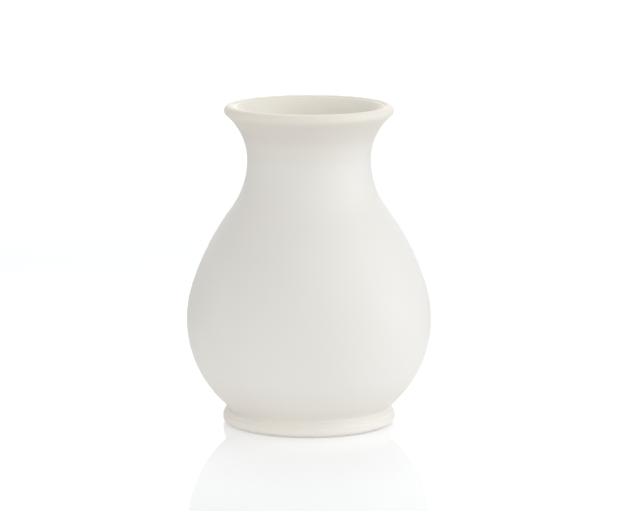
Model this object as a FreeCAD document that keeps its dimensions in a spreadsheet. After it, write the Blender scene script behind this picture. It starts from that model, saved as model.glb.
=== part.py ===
import FreeCAD, Part
import math
import os

import Sketcher

# A ceramic bud vase, 150 mm tall: a hollow clay pot, a foot ring luted under it with slip, a glaze
# liner inside and a glaze skin outside. Every piece is a solid of revolution about Z. The origin is
# on the table, at the centre of the foot. Lengths are millimetres and angles are degrees.
SIZES = (
    ("height", 150.0, "table to the top of the lip"),
    ("belly_radius", 57.3, "widest radius, over the glaze"),
    ("belly_height", 49.0, "height of the widest ring"),
    ("lower_arc", 52.6, "radius of the wall's curve below the widest ring"),
    ("upper_arc", 52.0, "radius of the wall's curve just above the widest ring"),
    ("upper_turn", 17.0, "how far the upper curve turns"),
    ("shoulder_arc", 124.0, "radius of the long, nearly straight shoulder"),
    ("neck_radius", 28.8, "narrowest radius, over the glaze"),
    ("neck_height", 124.3, "height of the narrowest ring"),
    ("lip_radius", 39.5, "outermost radius of the lip"),
    ("wall", 4.4, "thickness of the clay wall and floor"),
    ("glaze", 0.3, "thickness of either glaze"),
    ("base_height", 8.0, "table to the underside of the pot"),
    ("corner_round", 12.0, "radius between the inside wall and the floor"),
    ("foot_radius", 40.4, "outermost radius of the foot, over the glaze"),
    ("foot_bore", 33.0, "inner radius of the foot ring"),
    ("foot_shoulder_height", 8.1, "height where the foot's round top would level out"),
    ("foot_shoulder_round", 4.5, "radius of the foot's round top"),
    ("foot_edge_round", 3.0, "radius of the foot's lower outer edge"),
    ("foot_bore_round", 0.8, "radius of the foot's lower inner edge"),
    ("crease_round", 0.8, "radius of the glaze pooled between pot and foot"),
    ("glaze_end", 30.0, "how far round the foot's lower edge the glaze runs"),
    ("line_angle", 22.0, "place of the turned line on the foot's round top"),
    ("line_round", 0.8, "radius of the turned line's section"),
    ("line_depth", 0.3, "depth of the turned line"),
    ("slip", 0.6, "thickness of the slip between pot and foot ring"),
    ("score_start", 34.0, "radius of the innermost scored groove"),
    ("score_pitch", 1.1, "distance from one scored groove to the next"),
    ("score_width", 0.7, "width of a scored groove"),
    ("score_depth", 0.45, "depth of a scored groove"),
)
SCORE_COUNT = 3
QUARTER_TURN, HALF_TURN, FULL_TURN = 90, 180, 360

# Ends and centre of a sketch's edge, and the sketch's vertical axis, as the sketcher numbers them.
START, END, CENTRE = 1, 2, 3
VERTICAL_AXIS = -2

# Places that several outlines share, as expressions of the sheet.
INSIDE = "(Sizes.wall + Sizes.glaze)"
LINER_INSIDE = "(Sizes.wall + 2 * Sizes.glaze)"
LIP_ROUND = "(Sizes.wall / 2 + Sizes.glaze)"
LIP_X = f"Sizes.lip_radius - {LIP_ROUND}"
LIP_Z = f"Sizes.height - {LIP_ROUND}"
SEAT_Z = "(Sizes.base_height - Sizes.slip)"
SHOULDER_X = "Sizes.foot_radius - Sizes.foot_shoulder_round"
SHOULDER_Z = "Sizes.foot_shoulder_height - Sizes.foot_shoulder_round"
EDGE_X = "Sizes.foot_radius - Sizes.glaze - Sizes.foot_edge_round"
LINE_REACH = "(Sizes.foot_shoulder_round + Sizes.line_round - Sizes.line_depth)"
LINE_X = f"{SHOULDER_X} + {LINE_REACH} * cos(Sizes.line_angle)"
LINE_Z = f"{SHOULDER_Z} + {LINE_REACH} * sin(Sizes.line_angle)"

# Radii where the clay pot and the clay foot ring end at the slip between them.
POT_RIM = (
    "Sizes.belly_radius - Sizes.lower_arc + "
    "sqrt((Sizes.lower_arc - Sizes.glaze) ^ 2 - (Sizes.belly_height - Sizes.base_height) ^ 2)"
)
FOOT_RIM = (
    f"{SHOULDER_X} + "
    f"sqrt((Sizes.foot_shoulder_round - Sizes.glaze) ^ 2 - ({SEAT_Z} - ({SHOULDER_Z})) ^ 2)"
)


def make_sheet(doc):
    """The spreadsheet that drives every size."""
    sheet = doc.addObject("Spreadsheet::Sheet", "Sizes")
    for row, (alias, number, words) in enumerate(SIZES, start=1):
        sheet.set(f"A{row}", words)
        sheet.set(f"B{row}", str(number))
        sheet.setAlias(f"B{row}", alias)
    doc.recompute()
    return sheet


def place(centre, radius, angle):
    """The point at an angle on a circle."""
    turn = math.radians(angle)
    return centre[0] + radius * math.cos(turn), centre[1] + radius * math.sin(turn)


def angle_between(centre, point):
    """The direction of a point from a centre."""
    return math.degrees(math.atan2(point[1] - centre[1], point[0] - centre[0]))


def outer_meeting(centre_a, radius_a, centre_b, radius_b):
    """Where two circles cross, on the side away from the vase's axis."""
    across = centre_b[0] - centre_a[0], centre_b[1] - centre_a[1]
    gap = math.hypot(*across)
    along = (radius_a**2 - radius_b**2 + gap**2) / (2 * gap)
    aside = math.sqrt(radius_a**2 - along**2)
    unit = across[0] / gap, across[1] / gap
    return (
        centre_a[0] + along * unit[0] - aside * unit[1],
        centre_a[1] + along * unit[1] + aside * unit[0],
    )


class Wall:
    """Centres, radii and turns of the pot's outer surface, over the glaze, from foot to lip.

    A surface further in has the same centres. Its hollow curves are larger and its full ones smaller.
    """

    def __init__(self, size):
        self.place_belly(size)
        self.place_neck(size)
        self.place_lip(size)
        self.place_corner(size)
        self.place_foot(size)

    def place_belly(self, size):
        """Two curves that meet at the widest ring, and the long shoulder that follows the upper one."""
        self.lower_arc = size.lower_arc
        self.lower_centre = size.belly_radius - size.lower_arc, size.belly_height
        self.upper_arc = size.upper_arc
        self.upper_centre = size.belly_radius - size.upper_arc, size.belly_height
        self.upper_turn = size.upper_turn
        self.shoulder_arc = size.shoulder_arc
        upper_end = place(self.upper_centre, self.upper_arc, self.upper_turn)
        self.shoulder_centre = place(upper_end, -self.shoulder_arc, self.upper_turn)

    def place_neck(self, size):
        """The hollow curve that leaves the shoulder smoothly and is upright at the neck."""
        run = size.neck_radius - self.shoulder_centre[0]
        rise = size.neck_height - self.shoulder_centre[1]
        self.neck_arc = (run**2 + rise**2 - self.shoulder_arc**2) / (2 * (self.shoulder_arc - run))
        self.neck_centre = size.neck_radius + self.neck_arc, size.neck_height
        self.shoulder_turn = angle_between(self.shoulder_centre, self.neck_centre)

    def place_lip(self, size):
        """The full round of the lip, and the flare that runs from the neck smoothly into it."""
        self.lip_round = size.wall / 2 + size.glaze
        self.lip_centre = size.lip_radius - self.lip_round, size.height - self.lip_round
        run = self.lip_centre[0] - size.neck_radius
        rise = self.lip_centre[1] - size.neck_height
        self.flare_arc = (run**2 + rise**2 - self.lip_round**2) / (2 * (run + self.lip_round))
        self.flare_centre = size.neck_radius + self.flare_arc, size.neck_height
        self.flare_turn = -angle_between(self.lip_centre, self.flare_centre)

    def place_corner(self, size):
        """The round between floor and wall, inside the pot."""
        self.corner_inset = size.corner_round + size.wall + 2 * size.glaze
        corner_z = size.base_height + self.corner_inset
        reach = self.lower_arc - self.corner_inset
        drop = size.belly_height - corner_z
        self.corner_centre = self.lower_centre[0] + math.sqrt(reach**2 - drop**2), corner_z
        self.corner_angle = angle_between(self.lower_centre, self.corner_centre)

    def place_foot(self, size):
        """The foot's round top, and the crease between it and the pot."""
        self.foot_centre = (
            size.foot_radius - size.foot_shoulder_round,
            size.foot_shoulder_height - size.foot_shoulder_round,
        )
        self.crease_centre = outer_meeting(
            self.lower_centre,
            self.lower_arc + size.crease_round,
            self.foot_centre,
            size.foot_shoulder_round + size.crease_round,
        )
        self.crease_angle = angle_between(self.lower_centre, self.crease_centre)
        self.crease_foot_angle = angle_between(self.foot_centre, self.crease_centre)
        seat_rise = size.base_height - size.slip - self.foot_centre[1]
        self.seat_angle = math.degrees(math.asin(seat_rise / (size.foot_shoulder_round - size.glaze)))

    def angle_at(self, inset, height):
        """The angle on the lower curve, at an inset, that lies at a height."""
        drop = self.lower_centre[1] - height
        return -math.degrees(math.asin(drop / (self.lower_arc - inset)))


class Outline:
    """One closed half section, drawn edge by edge in a sketch on the XZ plane of its body."""

    def __init__(self, body, name):
        self.sketch = body.newObject("Sketcher::SketchObject", name)
        plane = next(o for o in body.Origin.OriginFeatures if o.Role == "XZ_Plane")
        self.sketch.AttachmentSupport = [(plane, "")]
        self.sketch.MapMode = "FlatFace"
        self.first = None
        self.last = None

    def number(self, expression):
        """What an expression of the sheet comes to."""
        return float(self.sketch.evalExpression(expression))

    def hold(self, kind, where, expression):
        """Adds a dimension that follows an expression of the sheet."""
        number = self.number(expression)
        if kind == "Angle":
            number = math.radians(number)
        index = self.sketch.addConstraint(Sketcher.Constraint(kind, *where, number))
        self.sketch.setExpression(f"Constraints[{index}]", expression)

    def pin(self, edge, end, x, z):
        """Holds one end, or the centre, of an edge at a place."""
        self.hold("DistanceX", (edge, end), x)
        self.hold("DistanceY", (edge, end), z)

    def tie(self, kind, *where):
        """Adds a constraint that has no dimension."""
        self.sketch.addConstraint(Sketcher.Constraint(kind, *where))

    def add(self, shape, begin, finish, smooth):
        """Adds an edge, joined to the one before it, in line with it where the joint is smooth."""
        edge = self.sketch.addGeometry(shape, False)
        if self.last is None:
            self.first = (edge, begin)
        else:
            self.tie("Tangent" if smooth else "Coincident", *self.last, edge, begin)
        self.last = (edge, finish)
        return edge

    def line(self, begin, finish, smooth=False):
        """A straight edge."""
        ends = [FreeCAD.Vector(*point, 0) for point in (begin, finish)]
        return self.add(Part.LineSegment(*ends), START, END, smooth)

    def arc(self, centre, radius, begin, finish, smooth=True):
        """A round edge from one angle to another, anticlockwise where the second is the larger."""
        circle = Part.Circle(FreeCAD.Vector(*centre, 0), FreeCAD.Vector(0, 0, 1), radius)
        low, high = (math.radians(angle) for angle in sorted((begin, finish)))
        shape = Part.ArcOfCircle(circle, low, high)
        ends = (START, END) if finish > begin else (END, START)
        return self.add(shape, *ends, smooth)

    def polygon(self, points):
        """A closed loop through points given as pairs of expressions, each held in its place."""
        places = [(self.number(x), self.number(z)) for x, z in points]
        for point, begin, finish in zip(points, places, places[1:] + places[:1]):
            edge = self.line(begin, finish)
            self.pin(edge, START, *point)
        self.close()

    def close(self):
        """Joins the last edge to the first, and starts afresh for another loop."""
        self.tie("Coincident", *self.last, *self.first)
        self.first, self.last = None, None


def draw_wall(outline, wall, inset, lowest, upward, smooth=True):
    """The wall from its lowest angle to the lip, or back down, at an inset from the glazed surface."""
    depth = outline.number(inset)
    runs = [
        ("lower", wall.lower_centre, wall.lower_arc - depth, lowest, 0),
        ("upper", wall.upper_centre, wall.upper_arc - depth, 0, wall.upper_turn),
        ("shoulder", wall.shoulder_centre, wall.shoulder_arc - depth, wall.upper_turn, wall.shoulder_turn),
        ("neck", wall.neck_centre, wall.neck_arc + depth, HALF_TURN + wall.shoulder_turn, HALF_TURN),
        ("flare", wall.flare_centre, wall.flare_arc + depth, HALF_TURN, HALF_TURN - wall.flare_turn),
    ]
    if not upward:
        runs = [(name, centre, radius, end, begin) for name, centre, radius, begin, end in reversed(runs)]
    edges = {}
    for name, centre, radius, begin, end in runs:
        edges[name] = outline.arc(centre, radius, begin, end, smooth or bool(edges))

    for name in ("lower", "upper", "shoulder"):
        outline.hold("Radius", (edges[name],), f"Sizes.{name}_arc - {inset}")
    outline.pin(edges["lower"], END, f"Sizes.belly_radius - {inset}", "Sizes.belly_height")
    outline.hold("DistanceY", (edges["lower"], CENTRE), "Sizes.belly_height")
    outline.hold("Angle", (edges["upper"],), "Sizes.upper_turn")
    outline.pin(edges["neck"], START, f"Sizes.neck_radius - {inset}", "Sizes.neck_height")
    outline.hold("DistanceY", (edges["neck"], CENTRE), "Sizes.neck_height")
    return edges


def draw_lip(outline, wall, inset, inward):
    """The round of the lip, from the outside in, or back out."""
    angles = [-wall.flare_turn, HALF_TURN - wall.flare_turn]
    if not inward:
        angles.reverse()
    radius = wall.lip_round - outline.number(inset)
    lip = outline.arc(wall.lip_centre, radius, *angles, smooth=inward)
    outline.pin(lip, CENTRE, LIP_X, LIP_Z)
    outline.hold("Radius", (lip,), f"{LIP_ROUND} - {inset}")
    return lip


def draw_floor(outline, wall, inset, inward):
    """The inside corner and floor, from the wall in to the axis, or from the axis out."""
    depth = outline.number(inset)
    radius = wall.corner_inset - depth
    middle = 0, wall.corner_centre[1] - radius
    edge_point = wall.corner_centre[0], middle[1]
    if inward:
        corner = outline.arc(wall.corner_centre, radius, wall.corner_angle, -QUARTER_TURN)
        floor = outline.line(edge_point, middle, smooth=True)
        axis_end = END
    else:
        floor = outline.line(middle, edge_point)
        corner = outline.arc(wall.corner_centre, radius, -QUARTER_TURN, wall.corner_angle)
        axis_end = START
    outline.hold("Radius", (corner,), f"Sizes.corner_round + {LINER_INSIDE} - {inset}")
    outline.tie("Horizontal", floor)
    outline.tie("PointOnObject", floor, axis_end, VERTICAL_AXIS)
    outline.hold("DistanceY", (floor, axis_end), f"Sizes.base_height + {inset}")


def draw_foot_side(outline, wall, size, inset, top, bottom, downward):
    """The foot's round top with its turned line, its side and its lower edge, between two angles."""
    depth = outline.number(inset)
    radius = size.foot_shoulder_round - depth
    line_centre = outline.number(LINE_X), outline.number(LINE_Z)
    line_radius = size.line_round + depth
    meeting = outer_meeting(wall.foot_centre, radius, line_centre, line_radius)
    half = abs(angle_between(wall.foot_centre, meeting) - size.line_angle)
    line_ends = [
        angle_between(line_centre, place(wall.foot_centre, radius, size.line_angle + turn)) % FULL_TURN
        for turn in (half, -half)
    ]
    edge_centre = outline.number(EDGE_X), size.foot_edge_round
    edge_radius = size.foot_edge_round + size.glaze - depth

    runs = [
        ("high", wall.foot_centre, radius, top, size.line_angle + half),
        ("line", line_centre, line_radius, *line_ends),
        ("low", wall.foot_centre, radius, size.line_angle - half, 0),
        ("side", None, size.foot_radius - depth, wall.foot_centre[1], size.foot_edge_round),
        ("edge", edge_centre, edge_radius, 0, bottom),
    ]
    if not downward:
        runs = [(name, centre, reach, end, begin) for name, centre, reach, begin, end in reversed(runs)]
    edges = {}
    before = None
    for name, centre, reach, begin, end in runs:
        smooth = {before, name} in ({"low", "side"}, {"side", "edge"})
        if name == "side":
            edges[name] = outline.line((reach, begin), (reach, end), smooth)
        else:
            edges[name] = outline.arc(centre, reach, begin, end, smooth)
        before = name

    for name in ("high", "low"):
        outline.pin(edges[name], CENTRE, SHOULDER_X, SHOULDER_Z)
        outline.hold("Radius", (edges[name],), f"Sizes.foot_shoulder_round - {inset}")
    outline.pin(edges["line"], CENTRE, LINE_X, LINE_Z)
    outline.hold("Radius", (edges["line"],), f"Sizes.line_round + {inset}")
    outline.tie("Vertical", edges["side"])
    outline.hold("DistanceY", (edges["edge"], CENTRE), "Sizes.foot_edge_round")
    outline.hold("Radius", (edges["edge"],), f"Sizes.foot_edge_round + Sizes.glaze - {inset}")
    return edges


def revolve(body, outline, name):
    """Turns an outline right round the vase's axis."""
    solid = body.newObject("PartDesign::Revolution", name)
    solid.Profile = outline.sketch
    solid.ReferenceAxis = (outline.sketch, ["V_Axis"])
    solid.Angle = FULL_TURN
    outline.sketch.Visibility = False
    return solid


def score(body, face_z, upward):
    """Cuts the scored grooves that key the slip, up into the pot or down into the foot ring."""
    sign = "+" if upward else "-"
    outline = Outline(body, f"{body.Label}_scores")
    for index in range(SCORE_COUNT):
        middle = f"Sizes.score_start + {index} * Sizes.score_pitch"
        triangle = [
            (f"{middle} - Sizes.score_width / 2", face_z),
            (f"{middle} + Sizes.score_width / 2", face_z),
            (middle, f"{face_z} {sign} Sizes.score_depth"),
        ]
        outline.polygon(triangle)
    cut = body.newObject("PartDesign::Groove", f"{body.Label}_score_cut")
    cut.Profile = outline.sketch
    cut.ReferenceAxis = (outline.sketch, ["V_Axis"])
    cut.Angle = FULL_TURN
    outline.sketch.Visibility = False
    return cut


def new_body(doc, name):
    """An empty body whose label names its node."""
    body = doc.addObject("PartDesign::Body", name)
    body.Label = name
    body.Placement = FreeCAD.Placement()
    return body


def make_vessel_body(doc, size, wall):
    """The clay pot: underside, outer wall, round lip, inner wall and floor."""
    body = new_body(doc, "vessel_body")
    outline = Outline(body, "vessel_section")
    lowest = wall.angle_at(size.glaze, size.base_height)
    underside = outline.line((0, size.base_height), (outline.number(POT_RIM), size.base_height))
    outline.tie("PointOnObject", underside, START, VERTICAL_AXIS)
    outline.tie("Horizontal", underside)
    outline.hold("DistanceY", (underside, START), "Sizes.base_height")
    draw_wall(outline, wall, "Sizes.glaze", lowest, upward=True, smooth=False)
    draw_lip(outline, wall, "Sizes.glaze", inward=True)
    draw_wall(outline, wall, INSIDE, wall.corner_angle, upward=False)
    draw_floor(outline, wall, INSIDE, inward=True)
    outline.line((0, size.base_height + size.wall + size.glaze), (0, size.base_height))
    outline.close()
    revolve(body, outline, "vessel_turned")
    score(body, "Sizes.base_height", upward=True)
    return body


def make_foot_ring(doc, size, wall):
    """The foot ring: flat scored top, round outside with a turned line, flat rest face, plain bore."""
    body = new_body(doc, "foot_ring")
    outline = Outline(body, "foot_section")
    seat_z = size.base_height - size.slip
    seat = outline.line((size.foot_bore, seat_z), (outline.number(FOOT_RIM), seat_z))
    outline.pin(seat, START, "Sizes.foot_bore", SEAT_Z)
    outline.tie("Horizontal", seat)
    draw_foot_side(outline, wall, size, "Sizes.glaze", wall.seat_angle, -QUARTER_TURN, downward=True)
    bore_centre = size.foot_bore + size.foot_bore_round, size.foot_bore_round
    rest = outline.line((outline.number(EDGE_X), 0), (bore_centre[0], 0), smooth=True)
    outline.tie("Horizontal", rest)
    bore_edge = outline.arc(bore_centre, size.foot_bore_round, HALF_TURN + QUARTER_TURN, HALF_TURN)
    outline.hold("Radius", (bore_edge,), "Sizes.foot_bore_round")
    bore = outline.line((size.foot_bore, bore_centre[1]), (size.foot_bore, seat_z), smooth=True)
    outline.tie("Vertical", bore)
    outline.close()
    revolve(body, outline, "foot_turned")
    score(body, SEAT_Z, upward=False)
    return body


def make_luting_slip(doc, size, wall):
    """The slip between pot and foot ring, with a tooth in every scored groove."""
    body = new_body(doc, "luting_slip")
    outline = Outline(body, "slip_section")
    below = [("Sizes.foot_bore", SEAT_Z)]
    above = [("Sizes.foot_bore", "Sizes.base_height")]
    for index in range(SCORE_COUNT):
        middle = f"Sizes.score_start + {index} * Sizes.score_pitch"
        for face_z, sign, side in ((SEAT_Z, "-", below), ("Sizes.base_height", "+", above)):
            side.append((f"{middle} - Sizes.score_width / 2", face_z))
            side.append((middle, f"{face_z} {sign} Sizes.score_depth"))
            side.append((f"{middle} + Sizes.score_width / 2", face_z))
    below.append((FOOT_RIM, SEAT_Z))
    above.append((POT_RIM, "Sizes.base_height"))
    outline.polygon(below + above[::-1])
    revolve(body, outline, "slip_turned")
    return body


def hold_flare_at_lip(outline, wall, flare, radius):
    """Ends an inner flare where it would run smoothly into the lip's round."""
    normal = FreeCAD.Vector(0, 0, 1)
    circle = Part.Circle(FreeCAD.Vector(*wall.lip_centre, 0), normal, outline.number(radius))
    lip = outline.sketch.addGeometry(circle, True)
    outline.pin(lip, CENTRE, LIP_X, LIP_Z)
    outline.hold("Radius", (lip,), radius)
    outline.tie("Tangent", flare, START, lip)


def make_liner_glaze(doc, size, wall):
    """The glaze inside: floor, inner wall and inner flare up to the lip."""
    body = new_body(doc, "liner_glaze")
    outline = Outline(body, "liner_section")
    draw_floor(outline, wall, LINER_INSIDE, inward=False)
    inner = draw_wall(outline, wall, LINER_INSIDE, wall.corner_angle, upward=True)
    ends = [
        place(wall.flare_centre, wall.flare_arc + outline.number(inset), HALF_TURN - wall.flare_turn)
        for inset in (LINER_INSIDE, INSIDE)
    ]
    outline.line(*ends)
    outer = draw_wall(outline, wall, INSIDE, wall.corner_angle, upward=False, smooth=False)
    draw_floor(outline, wall, INSIDE, inward=True)
    floor_z = size.base_height + size.wall + size.glaze
    outline.line((0, floor_z), (0, floor_z + size.glaze))
    outline.close()
    for edges, radius in ((inner, LIP_ROUND), (outer, f"{LIP_ROUND} - Sizes.glaze")):
        hold_flare_at_lip(outline, wall, edges["flare"], radius)
    revolve(body, outline, "liner_turned")
    return body


def make_outer_glaze(doc, size, wall):
    """The glaze outside: from the foot's lower edge up over crease, belly and neck and round the lip."""
    body = new_body(doc, "outer_glaze")
    outline = Outline(body, "glaze_section")
    edge_centre = outline.number(EDGE_X), size.foot_edge_round
    edge_radii = size.foot_edge_round, size.foot_edge_round + size.glaze
    outline.line(*(place(edge_centre, radius, -size.glaze_end) for radius in edge_radii))
    outside = draw_foot_side(
        outline, wall, size, "0", wall.crease_foot_angle, -size.glaze_end, downward=False
    )
    turns = HALF_TURN + wall.crease_foot_angle, HALF_TURN + wall.crease_angle
    crease = outline.arc(wall.crease_centre, size.crease_round, *turns)
    outline.hold("Radius", (crease,), "Sizes.crease_round")
    draw_wall(outline, wall, "0", wall.crease_angle, upward=True)
    lip = draw_lip(outline, wall, "0", inward=True)

    mouth_radii = wall.lip_round, wall.lip_round - size.glaze
    mouth_angle = HALF_TURN - wall.flare_turn
    outline.line(*(place(wall.lip_centre, radius, mouth_angle) for radius in mouth_radii))
    clay_lip = draw_lip(outline, wall, "Sizes.glaze", inward=False)
    pot_end = wall.angle_at(size.glaze, size.base_height)
    pot = draw_wall(outline, wall, "Sizes.glaze", pot_end, upward=False)
    outline.hold("DistanceY", (pot["lower"], START), "Sizes.base_height")
    outline.line(
        (outline.number(POT_RIM), size.base_height),
        (outline.number(FOOT_RIM), size.base_height - size.slip),
    )
    inside = draw_foot_side(
        outline, wall, size, "Sizes.glaze", wall.seat_angle, -size.glaze_end, downward=True
    )
    outline.hold("DistanceY", (inside["high"], END), SEAT_Z)
    outline.close()
    for edges in (outside, inside):
        outline.hold("Angle", (edges["edge"],), "Sizes.glaze_end")
    for edge in (lip, clay_lip):
        outline.hold("Angle", (edge,), str(HALF_TURN))
    revolve(body, outline, "glaze_turned")
    return body


def check(doc, bodies):
    """Stops if any object failed or any sub-part isn't one valid solid."""
    for item in doc.Objects:
        if {"Invalid", "Error"} & set(item.State):
            raise RuntimeError(f"{item.Label} failed: {item.State}")
    for body in bodies:
        shape = body.Shape
        if shape.isNull() or not shape.isValid() or len(shape.Solids) != 1 or shape.Volume <= 0:
            raise RuntimeError(f"{body.Label} isn't one valid solid")
        print(f"{body.Label}: {shape.Volume:.0f} mm3, {shape.optimalBoundingBox()}")


def main():
    doc = FreeCAD.newDocument("bud_vase")
    size = make_sheet(doc)
    wall = Wall(size)
    makers = (make_vessel_body, make_foot_ring, make_luting_slip, make_liner_glaze, make_outer_glaze)
    bodies = [make(doc, size, wall) for make in makers]
    doc.recompute()
    check(doc, bodies)
    os.makedirs("parts", exist_ok=True)
    for body in bodies:
        body.Shape.exportStep(f"parts/{body.Label}.step")


main()
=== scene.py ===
import math

import bpy
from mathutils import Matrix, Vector, noise


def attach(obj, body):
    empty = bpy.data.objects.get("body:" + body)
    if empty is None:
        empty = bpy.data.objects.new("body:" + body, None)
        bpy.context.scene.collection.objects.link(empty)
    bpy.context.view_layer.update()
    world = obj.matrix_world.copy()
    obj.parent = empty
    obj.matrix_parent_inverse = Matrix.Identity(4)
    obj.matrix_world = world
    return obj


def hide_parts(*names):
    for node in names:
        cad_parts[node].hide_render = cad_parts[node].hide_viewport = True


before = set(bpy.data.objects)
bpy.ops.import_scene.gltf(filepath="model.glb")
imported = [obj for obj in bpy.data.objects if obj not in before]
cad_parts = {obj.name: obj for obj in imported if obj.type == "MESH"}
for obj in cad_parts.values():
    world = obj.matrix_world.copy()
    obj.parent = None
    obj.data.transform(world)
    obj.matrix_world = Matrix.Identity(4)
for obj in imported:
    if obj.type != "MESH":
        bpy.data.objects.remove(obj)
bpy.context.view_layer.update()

# A white ceramic bud vase. Lengths are metres and angles are degrees.
# The pot, its foot ring and the slip between them are the CAD nodes, with a bare clay finish.
# The two glazes are turned here again, finely enough to show the lip's and the foot's small rounds.
HEIGHT = 0.150
BELLY_RADIUS = 0.0573
BELLY_HEIGHT = 0.049
LOWER_ARC = 0.0526
UPPER_ARC = 0.052
UPPER_SWEEP = 17.0
SHOULDER_ARC = 0.124
NECK_RADIUS = 0.0288
NECK_HEIGHT = 0.1243
LIP_RADIUS = 0.0395
WALL = 0.0044
GLAZE = 0.0003
BASE_HEIGHT = 0.008
CORNER_ROUND = 0.012
FOOT_RADIUS = 0.0404
FOOT_SHOULDER_HEIGHT = 0.0081
FOOT_SHOULDER_ROUND = 0.0045
FOOT_EDGE_ROUND = 0.003
CREASE_ROUND = 0.0008
GLAZE_END = 30.0
LINE_ANGLE = 22.0
LINE_ROUND = 0.0008
LINE_DEPTH = 0.0003
SLIP = 0.0006

# How finely the glazes are turned.
SEGMENTS = 240
WALL_STEP = 0.0009
FINE_STEP = 0.0003
FLOOR_STEP = 0.0018
HIDDEN_STEP = 0.0025
HIDDEN_FLOOR_STEP = 0.005

# Points closer together than this are one point, and a radius smaller than this is on the axis.
SAME_PLACE = 1e-7


# ---------------------------------------------------------------- outline of the vase

def place(centre, radius, angle):
    """The point at an angle on a circle."""
    turn = math.radians(angle)
    return centre[0] + radius * math.cos(turn), centre[1] + radius * math.sin(turn)


def angle_between(centre, point):
    """The direction of a point from a centre."""
    return math.degrees(math.atan2(point[1] - centre[1], point[0] - centre[0]))


def outer_meeting(centre_a, radius_a, centre_b, radius_b):
    """Where two circles cross, on the side away from the vase's axis."""
    across = centre_b[0] - centre_a[0], centre_b[1] - centre_a[1]
    gap = math.hypot(*across)
    along = (radius_a**2 - radius_b**2 + gap**2) / (2 * gap)
    aside = math.sqrt(radius_a**2 - along**2)
    unit = across[0] / gap, across[1] / gap
    return (
        centre_a[0] + along * unit[0] - aside * unit[1],
        centre_a[1] + along * unit[1] + aside * unit[0],
    )


def arc(centre, radius, begin, end, step):
    """Points along a round edge, from one angle to another."""
    length = radius * math.radians(abs(end - begin))
    count = max(2, round(length / step))
    return [place(centre, radius, begin + (end - begin) * k / count) for k in range(count + 1)]


def chain(*runs):
    """Runs of points joined into one, with each shared point kept once."""
    points = []
    for run in runs:
        points += [p for p in run if not points or math.dist(p, points[-1]) > SAME_PLACE]
    return points


LOWER_CENTRE = BELLY_RADIUS - LOWER_ARC, BELLY_HEIGHT
UPPER_CENTRE = BELLY_RADIUS - UPPER_ARC, BELLY_HEIGHT
SHOULDER_CENTRE = place(place(UPPER_CENTRE, UPPER_ARC, UPPER_SWEEP), -SHOULDER_ARC, UPPER_SWEEP)

neck_run = NECK_RADIUS - SHOULDER_CENTRE[0]
neck_rise = NECK_HEIGHT - SHOULDER_CENTRE[1]
NECK_ARC = (neck_run**2 + neck_rise**2 - SHOULDER_ARC**2) / (2 * (SHOULDER_ARC - neck_run))
NECK_CENTRE = NECK_RADIUS + NECK_ARC, NECK_HEIGHT
SHOULDER_SWEEP = angle_between(SHOULDER_CENTRE, NECK_CENTRE)

LIP_ROUND = WALL / 2 + GLAZE
LIP_CENTRE = LIP_RADIUS - LIP_ROUND, HEIGHT - LIP_ROUND
lip_run = LIP_CENTRE[0] - NECK_RADIUS
lip_rise = LIP_CENTRE[1] - NECK_HEIGHT
FLARE_ARC = (lip_run**2 + lip_rise**2 - LIP_ROUND**2) / (2 * (lip_run + LIP_ROUND))
FLARE_CENTRE = NECK_RADIUS + FLARE_ARC, NECK_HEIGHT
FLARE_SWEEP = -angle_between(LIP_CENTRE, FLARE_CENTRE)

CORNER_INSET = CORNER_ROUND + WALL + 2 * GLAZE
corner_z = BASE_HEIGHT + CORNER_INSET
CORNER_CENTRE = (
    LOWER_CENTRE[0] + math.sqrt((LOWER_ARC - CORNER_INSET)**2 - (BELLY_HEIGHT - corner_z)**2),
    corner_z,
)
CORNER_ANGLE = angle_between(LOWER_CENTRE, CORNER_CENTRE)

FOOT_CENTRE = FOOT_RADIUS - FOOT_SHOULDER_ROUND, FOOT_SHOULDER_HEIGHT - FOOT_SHOULDER_ROUND
CREASE_CENTRE = outer_meeting(
    LOWER_CENTRE, LOWER_ARC + CREASE_ROUND, FOOT_CENTRE, FOOT_SHOULDER_ROUND + CREASE_ROUND
)
CREASE_ANGLE = angle_between(LOWER_CENTRE, CREASE_CENTRE)
CREASE_FOOT_ANGLE = angle_between(FOOT_CENTRE, CREASE_CENTRE)
LINE_CENTRE = place(FOOT_CENTRE, FOOT_SHOULDER_ROUND + LINE_ROUND - LINE_DEPTH, LINE_ANGLE)
EDGE_CENTRE = FOOT_RADIUS - GLAZE - FOOT_EDGE_ROUND, FOOT_EDGE_ROUND


def wall_points(inset, lowest, step):
    """The wall from its lowest angle up to the lip, at an inset from the glazed surface."""
    return chain(
        arc(LOWER_CENTRE, LOWER_ARC - inset, lowest, 0, step),
        arc(UPPER_CENTRE, UPPER_ARC - inset, 0, UPPER_SWEEP, step),
        arc(SHOULDER_CENTRE, SHOULDER_ARC - inset, UPPER_SWEEP, SHOULDER_SWEEP, step),
        arc(NECK_CENTRE, NECK_ARC + inset, 180 + SHOULDER_SWEEP, 180, step),
        arc(FLARE_CENTRE, FLARE_ARC + inset, 180, 180 - FLARE_SWEEP, step),
    )


def lip_points(inset, step):
    """The round of the lip, from the outside in."""
    return arc(LIP_CENTRE, LIP_ROUND - inset, -FLARE_SWEEP, 180 - FLARE_SWEEP, step)


def floor_points(inset, step):
    """The inside floor and corner, from the axis out to the wall."""
    radius = CORNER_INSET - inset
    floor_z = CORNER_CENTRE[1] - radius
    count = round(CORNER_CENTRE[0] / step)
    floor = [(CORNER_CENTRE[0] * k / count, floor_z) for k in range(count)]
    return chain(floor, arc(CORNER_CENTRE, radius, -90, CORNER_ANGLE, step))


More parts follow.
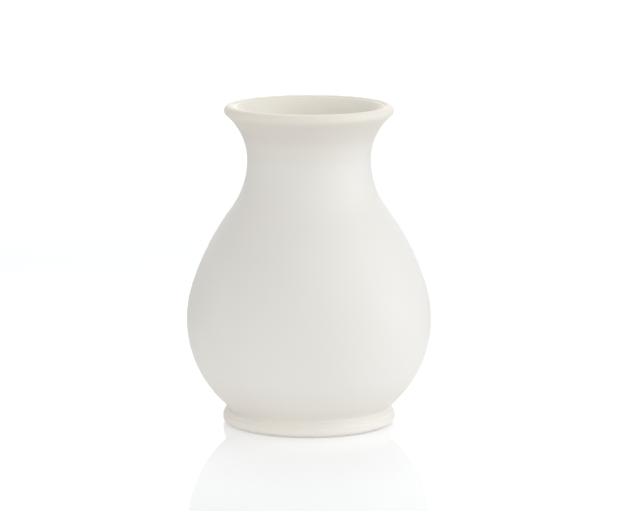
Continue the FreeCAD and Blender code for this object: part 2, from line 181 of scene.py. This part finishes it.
def foot_side_points(inset, top, step):
    """The foot from its lower edge up over its side, the turned line and its round top."""
    radius = FOOT_SHOULDER_ROUND - inset
    line_radius = LINE_ROUND + inset
    meeting = outer_meeting(FOOT_CENTRE, radius, LINE_CENTRE, line_radius)
    half = abs(angle_between(FOOT_CENTRE, meeting) - LINE_ANGLE)
    line_ends = [
        angle_between(LINE_CENTRE, place(FOOT_CENTRE, radius, LINE_ANGLE + turn)) % 360
        for turn in (-half, half)
    ]
    return chain(
        arc(EDGE_CENTRE, FOOT_EDGE_ROUND + GLAZE - inset, -GLAZE_END, 0, step),
        arc(FOOT_CENTRE, radius, 0, LINE_ANGLE - half, step),
        arc(LINE_CENTRE, line_radius, *line_ends, step),
        arc(FOOT_CENTRE, radius, LINE_ANGLE + half, top, step),
    )


def outer_glaze_outline():
    """The outer glaze's closed section: its face, and its back against the clay."""
    pot_end = -math.degrees(math.asin((BELLY_HEIGHT - BASE_HEIGHT) / (LOWER_ARC - GLAZE)))
    seat_rise = BASE_HEIGHT - SLIP - FOOT_CENTRE[1]
    foot_top = math.degrees(math.asin(seat_rise / (FOOT_SHOULDER_ROUND - GLAZE)))
    face = chain(
        foot_side_points(0, CREASE_FOOT_ANGLE, FINE_STEP),
        arc(CREASE_CENTRE, CREASE_ROUND, 180 + CREASE_FOOT_ANGLE, 180 + CREASE_ANGLE, FINE_STEP),
        wall_points(0, CREASE_ANGLE, WALL_STEP),
        lip_points(0, FINE_STEP),
    )
    back = chain(
        foot_side_points(GLAZE, foot_top, FINE_STEP),
        wall_points(GLAZE, pot_end, HIDDEN_STEP),
        lip_points(GLAZE, FINE_STEP),
    )
    return face, back


def liner_outline():
    """The liner's section, from the lip down and in to the axis: its face, and its back."""
    face = chain(
        floor_points(WALL + 2 * GLAZE, FLOOR_STEP),
        wall_points(WALL + 2 * GLAZE, CORNER_ANGLE, WALL_STEP),
    )
    back = chain(
        floor_points(WALL + GLAZE, HIDDEN_FLOOR_STEP),
        wall_points(WALL + GLAZE, CORNER_ANGLE, HIDDEN_STEP),
    )
    return face[::-1], back[::-1]


# ---------------------------------------------------------------- turned meshes

# The hand's wave is a broad swell and fine rings. Each has its depth, and the scale of its noise
# round the vase and up it.
SWELL = (0.00010, 0.8, 18)
RINGS = (0.00002, 0.25, 140)


def hand_wave(angle, height):
    """How far the hand-finished surface stands out from the true turned one, in metres."""
    wave = 0
    for depth, round_it, up_it in (SWELL, RINGS):
        spot = Vector((math.cos(angle) * round_it, math.sin(angle) * round_it, height * up_it))
        wave += depth * noise.noise(spot)
    return wave


def ring_of_points(radius, z, waved):
    """The vertices of one row of a turned mesh, which is a single one on the axis."""
    if radius < SAME_PLACE:
        return [(0, 0, z)]
    points = []
    for k in range(SEGMENTS):
        angle = 2 * math.pi * k / SEGMENTS
        reach = radius
        if waved:
            reach += hand_wave(angle, z) * min(1, radius / NECK_RADIUS)
        points.append((reach * math.cos(angle), reach * math.sin(angle), z))
    return points


def band_of_faces(low, high):
    """The faces between two rows of vertex numbers, either of which may be a single one."""
    faces = []
    for k in range(SEGMENTS):
        following = (k + 1) % SEGMENTS
        corners = [low[k], low[following]] if len(low) > 1 else list(low)
        corners += [high[following], high[k]] if len(high) > 1 else list(high)
        if len(corners) > 2:
            faces.append(corners)
    return faces


def turned_mesh(name, face, back):
    """A closed solid of revolution: the face takes the hand's slight wave, the back stays true."""
    rows = [(r, z, True) for r, z in face] + [(r, z, False) for r, z in reversed(back)]
    vertices, numbers = [], []
    for radius, z, waved in rows:
        ring = ring_of_points(radius, z, waved)
        numbers.append(range(len(vertices), len(vertices) + len(ring)))
        vertices += ring
    faces = []
    for low, high in zip(numbers, numbers[1:] + numbers[:1]):
        faces += band_of_faces(low, high)
    mesh = bpy.data.meshes.new(name)
    mesh.from_pydata(vertices, [], faces)
    mesh.validate()
    mesh.update()
    mesh.shade_smooth()
    return mesh


def add_piece(name, mesh, material, node):
    """A piece of the vase that stands for a CAD node."""
    piece = bpy.data.objects.new(name, mesh)
    bpy.context.scene.collection.objects.link(piece)
    mesh.materials.append(material)
    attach(piece, "root")
    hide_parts(node)
    return piece


# ---------------------------------------------------------------- materials

# The two tones that the glaze drifts between.
GLAZE_LIGHT = (0.818, 0.800, 0.768)
GLAZE_DEEP = (0.800, 0.781, 0.744)

# Heights, and how the glaze's colour is tinted there: a cream lip, a darker, warmer painted shade where
# the neck flares out under it and in the crease above the foot, and painted light on the foot ring.
BODY_TINT = (0.975, 0.975, 0.975)
LIP_TINT = (1.000, 0.975, 0.925)
OUTER_TINT_AND_PAINTED_SHADING = (
    # painted light: the foot ring a little lighter, as if lit from below
    (0.0085, (1.000, 0.990, 0.975)),
    # painted shade in the crease above the foot
    (0.0115, (0.950, 0.933, 0.905)),
    (0.0160, (0.960, 0.943, 0.920)),
    (0.0280, BODY_TINT),
    (0.1220, BODY_TINT),
    # painted shade under the flaring lip, darker and warmer
    (0.1300, (0.952, 0.942, 0.925)),
    (0.1380, (0.915, 0.890, 0.855)),
    (0.1430, (0.925, 0.897, 0.855)),
    (0.1470, LIP_TINT),
)
# The liner: painted shade, darker and warmer deeper down the neck, up to the cream lip.
LINER_TINT_AND_PAINTED_SHADE = (
    (0.1250, (0.930, 0.900, 0.835)),
    (0.1400, (0.955, 0.930, 0.875)),
    (0.1490, LIP_TINT),
)
OUTER_ROUGHNESS = 0.55
LINER_ROUGHNESS = 0.35

CLAY_LIGHT = (0.80, 0.78, 0.735)
CLAY_DARK = (0.73, 0.70, 0.65)
CLAY_ROUGHNESS = 0.85

# Noise textures: their scale, and how many finer layers they have.
CLOUDS = (22, 3)
GLAZE_GRAIN = (900, 2)
CLAY_GRIT = (700, 4)

# Where a noise's low and high ends lie on its blend of two colours.
CLOUD_BLEND = (0.3, 0.7)
GRIT_BLEND = (0.35, 0.6)

# Bumps: how strong, and how deep in metres.
GRAIN_BUMP = (0.15, 0.0001)
GRIT_BUMP = (0.4, 0.0001)
RING_BUMP = (0.3, 0.0002)
RING_SCALE = 160
RING_WOBBLE = 0.6


class Surface:
    """A material as it is built: its nodes, its shader, and the object's own coordinates."""

    def __init__(self, name, base_color, roughness):
        self.material = bpy.data.materials.new(name)
        self.material.use_nodes = True
        self.nodes = self.material.node_tree.nodes
        self.links = self.material.node_tree.links
        self.shader = self.nodes["Principled BSDF"]
        self.shader.inputs["Base Color"].default_value = (*base_color, 1)
        self.shader.inputs["Roughness"].default_value = roughness
        self.spot = self.nodes.new("ShaderNodeTexCoord").outputs["Object"]

    def add_noise(self, scale, detail):
        """A noise that is fixed to the object."""
        texture = self.nodes.new("ShaderNodeTexNoise")
        texture.inputs["Scale"].default_value = scale
        texture.inputs["Detail"].default_value = detail
        self.links.new(self.spot, texture.inputs["Vector"])
        return texture.outputs["Fac"]

    def add_blend(self, factor, ends, low_color, high_color):
        """Two colours, blended as a factor goes from its low end to its high one."""
        ramp = self.nodes.new("ShaderNodeValToRGB")
        for stop, position, color in zip(ramp.color_ramp.elements, ends, (low_color, high_color)):
            stop.position = position
            stop.color = (*color, 1)
        self.links.new(factor, ramp.inputs["Fac"])
        return ramp.outputs["Color"]

    def add_bands(self, bands):
        """A colour for each height on the vase, with painted shade and light. A ramp keeps one stop, so
        its own goes last.
        """
        parts = self.nodes.new("ShaderNodeSeparateXYZ")
        self.links.new(self.spot, parts.inputs["Vector"])
        rise = self.nodes.new("ShaderNodeMapRange")
        rise.inputs["From Max"].default_value = HEIGHT
        self.links.new(parts.outputs["Z"], rise.inputs["Value"])
        tint = self.nodes.new("ShaderNodeValToRGB")
        tint.color_ramp.interpolation = "EASE"
        stops = tint.color_ramp.elements
        stops.remove(stops[1])
        for height, color in bands:
            stop = stops.new(height / HEIGHT)
            stop.color = (*color, 1)
        stops.remove(stops[0])
        self.links.new(rise.outputs["Result"], tint.inputs["Fac"])
        return tint.outputs["Color"]

    def add_product(self, first, second):
        """The product of two colours."""
        mix = self.nodes.new("ShaderNodeMix")
        mix.data_type = "RGBA"
        mix.blend_type = "MULTIPLY"
        mix.inputs["Factor"].default_value = 1
        colors = [socket for socket in mix.inputs if socket.type == "RGBA"]
        self.links.new(first, colors[0])
        self.links.new(second, colors[1])
        return next(socket for socket in mix.outputs if socket.type == "RGBA")

    def add_bump(self, height, strength, distance, under=None):
        """Relief from a height, on top of any relief under it."""
        bump = self.nodes.new("ShaderNodeBump")
        bump.inputs["Strength"].default_value = strength
        bump.inputs["Distance"].default_value = distance
        self.links.new(height, bump.inputs["Height"])
        if under:
            self.links.new(under, bump.inputs["Normal"])
        return bump.outputs["Normal"]

    def finish(self, color, normal):
        """Gives the shader its colour and relief."""
        self.links.new(color, self.shader.inputs["Base Color"])
        self.links.new(normal, self.shader.inputs["Normal"])
        return self.material


def glaze_material(name, bands, roughness):
    """A glaze: its tone drifts a little in clouds, over a faint grain, and bands up its height paint shade
    and light on it.
    """
    surface = Surface(name, GLAZE_LIGHT, roughness)
    clouds = surface.add_blend(surface.add_noise(*CLOUDS), CLOUD_BLEND, GLAZE_LIGHT, GLAZE_DEEP)
    tone = surface.add_product(clouds, surface.add_bands(bands))
    grain = surface.add_bump(surface.add_noise(*GLAZE_GRAIN), *GRAIN_BUMP)
    return surface.finish(tone, grain)


def clay_material():
    """Bare fired clay: dry, with fine grit and faint rings from the turning tool."""
    surface = Surface("bare_clay", CLAY_LIGHT, CLAY_ROUGHNESS)
    grit = surface.add_noise(*CLAY_GRIT)
    tone = surface.add_blend(grit, GRIT_BLEND, CLAY_DARK, CLAY_LIGHT)
    rings = surface.nodes.new("ShaderNodeTexWave")
    rings.wave_type = "RINGS"
    rings.rings_direction = "Z"
    rings.inputs["Scale"].default_value = RING_SCALE
    rings.inputs["Distortion"].default_value = RING_WOBBLE
    surface.links.new(surface.spot, rings.inputs["Vector"])
    ring_bump = surface.add_bump(rings.outputs["Fac"], *RING_BUMP)
    grit_bump = surface.add_bump(grit, *GRIT_BUMP, under=ring_bump)
    return surface.finish(tone, grit_bump)


# ---------------------------------------------------------------- the vase

def build_vase():
    """The two glazes, and a clay finish on the CAD nodes that stay."""
    outer = glaze_material("matt_white_glaze", OUTER_TINT_AND_PAINTED_SHADING, OUTER_ROUGHNESS)
    liner = glaze_material("satin_liner_glaze", LINER_TINT_AND_PAINTED_SHADE, LINER_ROUGHNESS)
    add_piece(
        "glaze_outside", turned_mesh("glaze_outside", *outer_glaze_outline()), outer,
        "outer_glaze",
    )
    add_piece(
        "glaze_inside", turned_mesh("glaze_inside", *liner_outline()), liner,
        "liner_glaze",
    )
    clay = clay_material()
    for name in ("vessel_body", "foot_ring", "luting_slip"):
        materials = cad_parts[name].data.materials
        materials.clear()
        materials.append(clay)


# ---------------------------------------------------------------- studio

# The camera's lens and sensor are in millimetres.
CAMERA_ELEVATION = 9.56
CAMERA_DISTANCE = 1.7365
CAMERA_AIM = Vector((0, 0, 0.07894))
CAMERA_LENS = 208.9
CAMERA_SENSOR = 36
CAMERA_SHIFT = 0.0171
CAMERA_NEAREST = 0.05
CAMERA_FURTHEST = 50

# The table glows near the vase. The glow fades out between two distances from it.
TABLE_TONE = (0.70, 0.71, 0.73)
TABLE_ROUGHNESS = 0.04
TABLE_IOR = 1.2
TABLE_REACH = 2.4
TABLE_GLOW = 0.275
GLOW_NEAR = 0.12
GLOW_FAR = 0.5

# The room is brightest at the horizon, and fades up to its even strength. The two ends of the fade
# are given as the sine of the angle above the horizon.
ROOM_STRENGTH = 0.62
HORIZON_STRENGTH = 1.05
HORIZON_NEAR = 0.02
HORIZON_FAR = 0.05
LIGHT_SIZE = 1.2
LIGHT_DISTANCE = 2.5
NEUTRAL = (1, 1, 1)
COOL = (0.93, 0.971, 1)
FAINT_COOL = (0.96, 0.985, 1)
WARM = (1, 0.93, 0.72)
SOFT_WARM = (1, 0.97, 0.88)
FAINT_WARM = (1, 0.982, 0.933)

# Name, degrees round from the front, degrees up, radiance and colour.
SOFTBOXES = (
    ("right", 90, 8, 2.60, COOL),
    ("high_right", 90, 38, 1.84, COOL),
    ("front_right", 45, 30, 1.11, FAINT_COOL),
    ("front", 0, 30, 2.42, SOFT_WARM),
    ("left", 270, 8, 0.80, WARM),
    ("back", 180, 30, 1.27, SOFT_WARM),
    ("high_back", 180, 55, 1.55, FAINT_COOL),
)
BACKDROP_DISTANCE = 3
BACKDROP_WIDTH = 3
BACKDROP_HEIGHT = 1.2
BACKDROP_RADIANCE = 1.05
UNDERLIGHT_SIZE = 0.355
UNDERLIGHT_HEIGHT = 0.0005
UNDERLIGHT_RADIANCE = 0.095


def add_camera():
    """A long lens, a little above the table, with the vase just left of the middle."""
    camera = bpy.data.objects.new("camera", bpy.data.cameras.new("camera"))
    bpy.context.scene.collection.objects.link(camera)
    elevation = math.radians(CAMERA_ELEVATION)
    back = Vector((0, -math.cos(elevation), math.sin(elevation)))
    camera.location = CAMERA_AIM + back * CAMERA_DISTANCE
    camera.rotation_euler = (-back).to_track_quat("-Z", "Y").to_euler()
    camera.data.sensor_width = CAMERA_SENSOR
    camera.data.lens = CAMERA_LENS
    camera.data.shift_x = CAMERA_SHIFT
    camera.data.clip_start = CAMERA_NEAREST
    camera.data.clip_end = CAMERA_FURTHEST
    bpy.context.scene.camera = camera


def add_area_light(name, width, height, radiance, color):
    """An area light of a given brightness that the camera doesn't see. It faces down until it's turned."""
    data = bpy.data.lights.new(name, "AREA")
    data.shape = "RECTANGLE"
    data.size = width
    data.size_y = height
    data.energy = radiance * math.pi * width * height
    data.color = color
    light = bpy.data.objects.new(name, data)
    light.visible_camera = False
    bpy.context.scene.collection.objects.link(light)
    return light


def add_softbox(name, around, up, radiance, color):
    """A large soft light that faces the vase, placed by its direction from it. Around 0 is in front."""
    light = add_area_light(name, LIGHT_SIZE, LIGHT_SIZE, radiance, color)
    turn, rise = math.radians(around), math.radians(up)
    away = Vector((math.sin(turn) * math.cos(rise), -math.cos(turn) * math.cos(rise), math.sin(rise)))
    light.location = CAMERA_AIM + away * LIGHT_DISTANCE
    light.rotation_euler = away.to_track_quat("Z", "Y").to_euler()


def add_backdrop():
    """A white wall of light behind the vase, which the camera sees only in the table's gloss."""
    light = add_area_light("backdrop", BACKDROP_WIDTH, BACKDROP_HEIGHT, BACKDROP_RADIANCE, NEUTRAL)
    light.location = (0, BACKDROP_DISTANCE, BACKDROP_HEIGHT / 2)
    light.rotation_euler = (math.radians(-90), 0, 0)


def add_underlight():
    """A faint glow at table height that lights the belly and the foot from below."""
    size = UNDERLIGHT_SIZE
    light = add_area_light("underlight", size, size, UNDERLIGHT_RADIANCE, FAINT_WARM)
    light.location = (0, 0, UNDERLIGHT_HEIGHT)
    light.rotation_euler = (math.radians(180), 0, 0)
    light.visible_glossy = False


def add_room():
    """An evenly lit white room, brighter along the horizon."""
    world = bpy.data.worlds.new("white_room")
    world.use_nodes = True
    nodes, links = world.node_tree.nodes, world.node_tree.links
    background = nodes["Background"]
    background.inputs["Color"].default_value = (*NEUTRAL, 1)
    direction = nodes.new("ShaderNodeTexCoord")
    parts = nodes.new("ShaderNodeSeparateXYZ")
    links.new(direction.outputs["Generated"], parts.inputs["Vector"])
    fade = nodes.new("ShaderNodeMapRange")
    fade.interpolation_type = "SMOOTHSTEP"
    fade.inputs["From Min"].default_value = HORIZON_NEAR
    fade.inputs["From Max"].default_value = HORIZON_FAR
    fade.inputs["To Min"].default_value = HORIZON_STRENGTH
    fade.inputs["To Max"].default_value = ROOM_STRENGTH
    links.new(parts.outputs["Z"], fade.inputs["Value"])
    links.new(fade.outputs["Result"], background.inputs["Strength"])
    bpy.context.scene.world = world


def table_material():
    """A pale glossy table, lit from below round the vase."""
    surface = Surface("pale_table", TABLE_TONE, TABLE_ROUGHNESS)
    surface.shader.inputs["IOR"].default_value = TABLE_IOR
    surface.shader.inputs["Emission Color"].default_value = (*NEUTRAL, 1)
    reach = surface.nodes.new("ShaderNodeVectorMath")
    reach.operation = "LENGTH"
    surface.links.new(surface.spot, reach.inputs[0])
    glow = surface.nodes.new("ShaderNodeMapRange")
    glow.interpolation_type = "SMOOTHSTEP"
    glow.inputs["From Min"].default_value = GLOW_NEAR
    glow.inputs["From Max"].default_value = GLOW_FAR
    glow.inputs["To Min"].default_value = TABLE_GLOW
    glow.inputs["To Max"].default_value = 0
    surface.links.new(reach.outputs["Value"], glow.inputs["Value"])
    surface.links.new(glow.outputs["Result"], surface.shader.inputs["Emission Strength"])
    return surface.material


def add_table():
    """A wide flat table at the foot of the vase."""
    mesh = bpy.data.meshes.new("table")
    corners = [(-TABLE_REACH, -TABLE_REACH, 0), (TABLE_REACH, -TABLE_REACH, 0)]
    corners += [(TABLE_REACH, TABLE_REACH, 0), (-TABLE_REACH, TABLE_REACH, 0)]
    mesh.from_pydata(corners, [], [(0, 1, 2, 3)])
    mesh.materials.append(table_material())
    table = bpy.data.objects.new("table", mesh)
    bpy.context.scene.collection.objects.link(table)


def add_studio():
    """A white room, a pale table and soft light, most of it from the right."""
    bpy.context.scene.view_settings.view_transform = "Standard"
    add_room()
    add_table()
    for softbox in SOFTBOXES:
        add_softbox(*softbox)
    add_backdrop()
    add_underlight()


build_vase()
add_camera()
add_studio()
